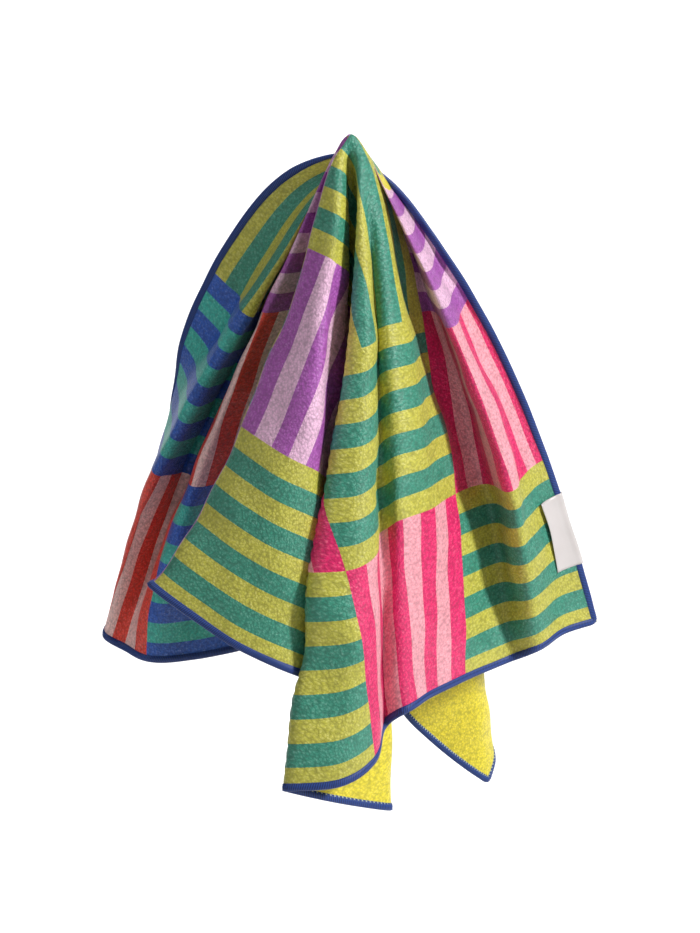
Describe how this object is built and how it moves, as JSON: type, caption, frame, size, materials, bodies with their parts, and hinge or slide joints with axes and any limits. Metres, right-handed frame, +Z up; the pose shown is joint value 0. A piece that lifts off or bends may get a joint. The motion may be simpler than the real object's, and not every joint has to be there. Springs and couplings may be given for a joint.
{
  "type": "hand towel",
  "caption": "Thin rectangular hand towel hung from one point near a long edge, draped in deep vertical folds, with a blank sewn side label.",
  "frame": {"origin": "the point of the cloth that a peg or hook lifts, at the very top", "axes": "+Z up, X along the towel's width as it hangs with the label on the +X side, -Y towards the viewer"},
  "size_m": [0.3602, 0.2775, 0.4901],
  "materials": {
    "towel_cloth": "soft napped microfibre, printed on the face and plain on the reverse",
    "label_satin": "smooth white satin ribbon, blank"
  },
  "bodies": {
    "root": {"towel": "towel_cloth", "label": "label_satin"}
  },
  "joints": []
}
